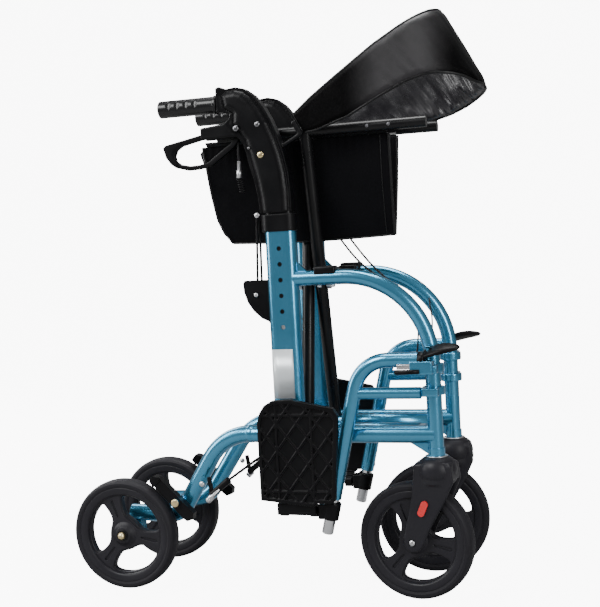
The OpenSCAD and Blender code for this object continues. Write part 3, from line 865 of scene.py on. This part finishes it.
def latch(side, sign):
    """Black lever beside a steel plate on the hanger head, and a cap on the hanger."""
    body = "hanger" + side
    path = mirrored([(0.520, 0.1265, 0.3905), (0.524, 0.1270, 0.3907),
                     (0.545, 0.1270, 0.3912), (0.562, 0.1270, 0.3915)], sign)
    attach(tube("latch_lever" + side, path, [0.002, 0.0044, 0.0040, 0.0038],
                "black_plastic"), body)
    attach(block("latch_plate" + side, sign, (0.524, 0.580), (0.1245, 0.1265),
                 (0.3955, 0.4035), "steel"), body)
    path = mirrored([(x, HANGER_Y, 0.410) for x in (0.5585, 0.5675, 0.5695)], sign)
    attach(tube("latch_cap" + side, path, [0.0131, 0.0131, 0.0120], "black_plastic",
                around=32), body)


def lower_tube(side, sign):
    """Blue lower tube of the crossed frame, with two screws on its outer side."""
    bar = "bar_a" if sign < 0 else "bar_b"
    path = mirrored([(x, LOWER_TUBE_Y, LOWER_TUBE_Z) for x in (0.3172, 0.43, 0.5428)], sign)
    attach(tube("lower_tube" + side, path, 0.0133, "blue_paint", around=40), bar)
    for x in (0.436, 0.497):
        outer_head(f"lower_tube_screw_{int(x * 1000)}{side}", bar, sign,
                   (x, 0.0610, LOWER_TUBE_Z), 0.0034, 0.0016, "steel", dome=0.0008)


def release_cable(side, sign):
    """Thin cable from the arch down to the latch."""
    path = mirrored([(0.5440, 0.0740, 0.5010), (0.5470, 0.064, 0.4880),
                     (0.5501, 0.062, 0.4625), (0.5485, 0.064, 0.4287),
                     (0.546, 0.070, 0.4130), (0.545, 0.0800, 0.4040)], sign)
    attach(tube("release_cable" + side, smooth_path(path), 0.0014, "piping", around=8),
           "frame" + side)


# the joints come either as a list or already keyed by name
JOINTS = frame["joints"]
if isinstance(JOINTS, list):
    JOINTS = {joint["name"]: joint for joint in JOINTS}

for side, sign in SIDES:
    wheel_centre("rear", side, Vector((0, sign * REAR_WHEEL_Y, REAR_AXLE_Z)), 0.0)
    spin = JOINTS["front_wheel_spin" + side]
    spin_axis, spin_centre = Vector(spin["axis"]), Vector(spin["pos_m"])
    yaw = math.atan2(-spin_axis.x, spin_axis.y) if abs(spin_axis.y) > 1e-6 else 0.0
    wheel_centre("front", side, spin_centre, yaw)
    rear_axle(side, sign)
    front_axle(side, spin_centre,
               spin_axis.normalized() * (1 if spin_axis.y * sign > 0 else -1))
    fork_head(side, sign)
    release_paddle(side, sign)
    latch(side, sign)
    lower_tube(side, sign)
    release_cable(side, sign)


# ---------------------------------------------------------------- footrest tubes
def footrest_tube(side, sign):
    """Chrome inner tube leaning forwards as it rises, slightly narrowed at its foot."""
    lean = Vector((0.0370, 0, 0.1509)).normalized()
    foot = Vector((0.390, sign * HANGER_Y, 0.1262)) - lean * 0.0105
    path = [foot + lean * distance for distance in (0.0, 0.0012, 0.08, 0.165)]
    inner = tube("footrest_inner_tube" + side, path, [0.0088, 0.0099, 0.0099, 0.0099],
                 "chrome", around=32)
    attach(inner, "extension" + side, "extension_tube" + side)


for side, sign in SIDES:
    footrest_tube(side, sign)


# ---------------------------------------------------------------- grips
GRIP_REAR, GRIP_FRONT = 0.1085, 0.2205
GRIP_Z = 0.857
GRIP_RADIUS = 0.0150
FLANGE_RADIUS, FLANGE_START = 0.0165, 0.1075
NOTCH_START, NOTCH_END = 0.016, 0.082  # distances from the grip's rear end
NOTCH_PITCH, NOTCH_DEPTH = 0.0165, 0.0022


def grip(side, sign):
    """Smooth barrel, finger notches on both flanks, a front flange and a domed rear end."""
    steps, around = 150, 48
    verts = []
    for i in range(steps + 1):
        x = GRIP_REAR + (GRIP_FRONT - GRIP_REAR) * i / steps
        distance = x - GRIP_REAR
        base = GRIP_RADIUS * min(1.0, (distance / 0.004) ** 0.4 * 0.94 + 0.06)
        if distance > FLANGE_START:
            base = FLANGE_RADIUS
        phase = ((distance - NOTCH_START) / NOTCH_PITCH) % 1.0
        for k in range(around):
            angle = 2 * math.pi * k / around
            # 1 at the top of the grip, 0 at the bottom
            flank = abs(math.pi - angle) / math.pi
            gate = max(0.0, 1.0 - abs(flank - 0.60) / 0.20) ** 0.8
            notch = 0.0
            if NOTCH_START < distance < NOTCH_END:
                notch = max(0.0, 1.0 - abs(phase - 0.5) / max(0.36 * gate, 1e-4))
            radius = base - NOTCH_DEPTH * gate * min(1.0, notch * 1.5)
            verts.append((x, sign * SIDE_Y + radius * math.sin(angle),
                          GRIP_Z + radius * math.cos(angle)))
    faces = ring_quads(steps + 1, around) + ring_caps(steps + 1, around)
    sleeve = face_outwards(mesh_object("grip_sleeve" + side, verts, faces, "grip_rubber"))
    attach(sleeve, "handle" + side, "grip" + side)


for side, sign in SIDES:
    grip(side, sign)


# ---------------------------------------------------------------- small fittings
CABLE_OUT = SIDE_Y + 0.003  # line of the brake cable below the handle


def handle_fittings(side, sign):
    """Screws on the shell's outer cheek and the cap on the lever's pivot."""
    body = "handle" + side
    for name, x, z, radius, material in (("rear", 0.297, 0.816, 0.0048, "dull_steel"),
                                         ("mid", 0.300, 0.764, 0.0056, "brass"),
                                         ("low", 0.279, 0.777, 0.0026, "dull_steel")):
        out = cheek_out(SHELLS[side], sign, x, z) - 0.0006
        outer_head(f"handle_screw_{name}{side}", body, sign, (x, out, z), radius, 0.0022,
                   material, dome=0.0008)
    outer_head(f"lever_pivot_cap{side}", body, sign, (0.258, SIDE_Y + 0.0165, 0.812),
               0.0052, 0.0022, "dull_steel", dome=0.0006)


def brake_cable(side, sign):
    """Cable, its adjuster and its spring, hanging below the lever housing."""
    body = "handle" + side
    path = mirrored([(0.256, SIDE_Y, 0.800), (0.2545, SIDE_Y + 0.002, 0.775),
                     (0.2555, CABLE_OUT, 0.755)], sign)
    attach(tube("lever_cable" + side, smooth_path(path), 0.0022, "black_plastic"), body)
    path = mirrored([(0.2555, CABLE_OUT, 0.757), (0.2545, CABLE_OUT, 0.742),
                     (0.2545, CABLE_OUT, 0.7415), (0.254, CABLE_OUT, 0.728)], sign)
    attach(tube("cable_adjuster" + side, path, [0.0035, 0.0035, 0.005, 0.005], "steel",
                around=6), body)
    turns, per_turn, coil = 6, 14, 0.0042
    steps = turns * per_turn
    path = []
    for k in range(steps + 1):
        angle = 2 * math.pi * k / per_turn
        path.append((0.2545 + coil * math.cos(angle) + 0.004 * k / steps,
                     sign * CABLE_OUT + coil * math.sin(angle), 0.727 - 0.024 * k / steps))
    attach(tube("cable_spring" + side, path, 0.0008, "black_plastic", around=6), body)


def post_label(side, sign):
    """Blank label wrapped on the outer side of the post, whose section is an oval."""
    steps = 18
    label_x, label_half = 0.318, 0.020
    post_x, flat_half, end_radius = 0.323, 0.0125, 0.01515
    outline = []
    for i in range(steps + 1):
        x = label_x + label_half * (-1 + 2 * i / steps)
        past_flat = max(0.0, abs(x - post_x) - flat_half)
        outline.append((x, sign * (SIDE_Y + math.sqrt(end_radius ** 2 - past_flat ** 2))))
    # four rows: outer face bottom and top, then inner face bottom and top
    verts = [(x, y - sign * depth, 0.345 + 0.085 * row)
             for depth in (0, 0.0001) for row in (0, 1) for x, y in outline]
    row = steps + 1
    low, high, inner_low, inner_high = 0, row, 2 * row, 3 * row
    faces = []
    for i in range(steps):
        faces += [(low + i, low + i + 1, high + i + 1, high + i),
                  (inner_low + i, inner_high + i, inner_high + i + 1, inner_low + i + 1),
                  (low + i, inner_low + i, inner_low + i + 1, low + i + 1),
                  (high + i, high + i + 1, inner_high + i + 1, inner_high + i)]
    faces.append((low, high, inner_high, inner_low))
    faces.append((low + steps, inner_low + steps, inner_high + steps, high + steps))
    label = face_outwards(mesh_object("post_label" + side, verts, faces, "label"))
    attach(label, "frame" + side)


def frame_fittings(side, sign):
    """Screws, caster washer and the brake's anchor on the leg."""
    body = "frame" + side
    for name, x, z, beyond, radius, material in (
            ("hook", 0.283, 0.662, 0.004, 0.0045, "steel"),
            ("cover", 0.275, 0.525, 0.008, 0.0038, "steel"),
            ("brake", 0.105, 0.160, 0.0250, 0.0072, "brass")):
        outer_head(f"screw_{name}{side}", body, sign, (x, SIDE_Y + beyond, z), radius,
                   0.0022, material, dome=0.0008)
    attach(disc(f"caster_washer{side}", (CASTER_X, sign * SIDE_Y, 0.2446), (0, 0, 1), 0.019,
                0.0018, "steel", around=40), body)
    outer_head(f"leg_bolt{side}", body, sign, (0.1560, SIDE_Y + 0.0165, 0.1935), 0.0048,
               0.0026, "steel", dome=0.0012)
    # thick clevis running into a thin rod
    path = mirrored([(0.1660, SIDE_Y + 0.0185, 0.1640), (0.1740, SIDE_Y + 0.0185, 0.1715),
                     (0.1760, SIDE_Y + 0.0185, 0.1735), (0.1935, SIDE_Y + 0.0170, 0.1900)],
                    sign)
    attach(tube(f"brake_clevis{side}", path, [0.0058, 0.0058, 0.0030, 0.0030], "steel",
                around=10), body)
    outer_head(f"brake_clevis_pin{side}", body, sign, (0.1690, SIDE_Y + 0.0240, 0.1668),
               0.0040, 0.0022, "steel", dome=0.001)


def arch_fittings(side, sign):
    """Pad on top of the arch, a cradle on its inner side and two screws from below."""
    body = "frame" + side
    low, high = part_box("saddle" + side)
    middle_x = (low[0] + high[0]) / 2
    pad = block("arch_pad" + side, sign, (middle_x - 0.019, middle_x + 0.019),
                (SIDE_Y - 0.0125, SIDE_Y + 0.0125), (0.5540, 0.5695), "black_plastic",
                bevel=0.0035)
    attach(pad, body, "saddle" + side)
    cradle = block("arch_cradle" + side, sign, (middle_x - 0.017, middle_x + 0.017),
                   (0.047, 0.074), (0.5520, 0.5650), "black_plastic", bevel=0.003)
    attach(cradle, body)
    for letter, shift in (("a", -0.012), ("b", 0.012)):
        screw = disc(f"arch_pad_screw_{letter}{side}",
                     (middle_x + shift, sign * SIDE_Y, 0.5368), (0, 0, -1), 0.0036, 0.0030,
                     "steel", dome=0.001)
        attach(screw, body)


def rail_screws(side, sign):
    """Small heads on the outer side of the seat rail, which rides the opposite bar."""
    for x in (0.478, 0.515):
        outer_head(f"rail_screw_{int(x * 1000)}{side}", "bar_b" if sign < 0 else "bar_a",
                   sign, (x, 0.0502 + 0.0088, 0.8018), 0.0030, 0.0012, "grey_plate",
                   dome=0.0008)


for side, sign in SIDES:
    handle_fittings(side, sign)
    brake_cable(side, sign)
    post_label(side, sign)
    frame_fittings(side, sign)
    arch_fittings(side, sign)
    rail_screws(side, sign)


# ---------------------------------------------------------------- stage
CAMERA_PLACE = (0.93274, -1.88083, 0.61652)
CAMERA_AZIMUTH = math.radians(17.942)  # from +Y towards -X
CAMERA_PITCH = math.radians(3.319)     # downwards
CAMERA_ROLL = math.radians(-3.087)
FOCAL_LENGTH = 65.369357               # mm
SENSOR_WIDTH = 36                      # mm


def add_camera():
    azimuth, pitch, roll = CAMERA_AZIMUTH, CAMERA_PITCH, CAMERA_ROLL
    forward = Vector((-math.sin(azimuth) * math.cos(pitch),
                      math.cos(azimuth) * math.cos(pitch), -math.sin(pitch)))
    level = Vector((math.cos(azimuth), math.sin(azimuth), 0))
    upright = level.cross(forward)
    right = level * math.cos(roll) + upright * math.sin(roll)
    up = level * -math.sin(roll) + upright * math.cos(roll)
    data = bpy.data.cameras.new("camera")
    data.sensor_width = SENSOR_WIDTH
    data.lens = FOCAL_LENGTH
    camera = bpy.data.objects.new("camera", data)
    rows = [(right[i], up[i], -forward[i], CAMERA_PLACE[i]) for i in range(3)]
    camera.matrix_world = Matrix((*rows, (0, 0, 0, 1)))
    scene.collection.objects.link(camera)
    scene.camera = camera


def floor_material():
    """Grey to light and reflections, glowing white to the camera."""
    material = bpy.data.materials.new("floor")
    shader = Shader(material)
    seen = shader.add("LightPath", {}).outputs["Is Camera Ray"]
    camera_glow = shader.math("MULTIPLY", seen, 9.0)
    shader.put(shader.main, {
        "Base Color": (0.30, 0.30, 0.30, 1), "Roughness": 0.8,
        "Emission Color": (1, 1, 1, 1), "Emission Strength": camera_glow})
    return material


def add_floor():
    """Floor that sweeps up into a wall behind the chair, on the +Y side."""
    half_width, bend_start, bend_radius = 6.0, 2.2, 1.2
    outline = [(-3.0, 0.0), (bend_start, 0.0)]
    outline += [(bend_start + bend_radius * math.sin(angle),
                 bend_radius - bend_radius * math.cos(angle))
                for angle in np.linspace(0.1, math.pi / 2, 16)]
    outline.append((bend_start + bend_radius, 5.0))
    verts = [(x, y, z - 0.0003) for y, z in outline for x in (-half_width, half_width)]
    faces = [(2 * i, 2 * i + 1, 2 * i + 3, 2 * i + 2) for i in range(len(outline) - 1)]
    MATERIALS["floor"] = floor_material()
    mesh_object("floor", verts, faces, "floor")


def add_light(name, place, target_z, size, energy):
    """Rectangular light aimed at x = 0.3 on the middle plane."""
    data = bpy.data.lights.new(name, "AREA")
    data.shape = "RECTANGLE"
    data.size, data.size_y = size
    data.energy = energy
    light = bpy.data.objects.new(name, data)
    light.location = place
    aim = Vector((0.3, 0, target_z)) - Vector(place)
    light.rotation_euler = aim.to_track_quat("-Z", "Y").to_euler()
    scene.collection.objects.link(light)


def add_world():
    """White surroundings, dim as a light and bright to the camera."""
    world = bpy.data.worlds.new("world")
    scene.world = world
    shader = Shader(world, main="Background")
    seen = shader.add("LightPath", {}).outputs["Is Camera Ray"]
    strength = shader.remap(seen, (0.0, 1.0), (0.30, 9.5))
    shader.put(shader.main, {"Color": (1, 1, 1, 1), "Strength": strength})


add_camera()
add_floor()
# name, place, height aimed at, size, power in watts
for light_settings in (
        ("key", (-1.2, -2.2, 2.6), 0.5, (1.3, 1.3), 92),
        ("fill", (2.6, -1.9, 1.3), 0.5, (0.7, 2.0), 52),
        ("top", (0.4, 0.2, 2.9), 0.4, (1.4, 1.4), 85),
        ("rim", (-1.8, 1.6, 1.6), 0.5, (0.8, 2.0), 34),
        ("left", (-2.5, -0.9, 1.5), 0.4, (1.0, 2.2), 62)):
    add_light(*light_settings)
add_world()
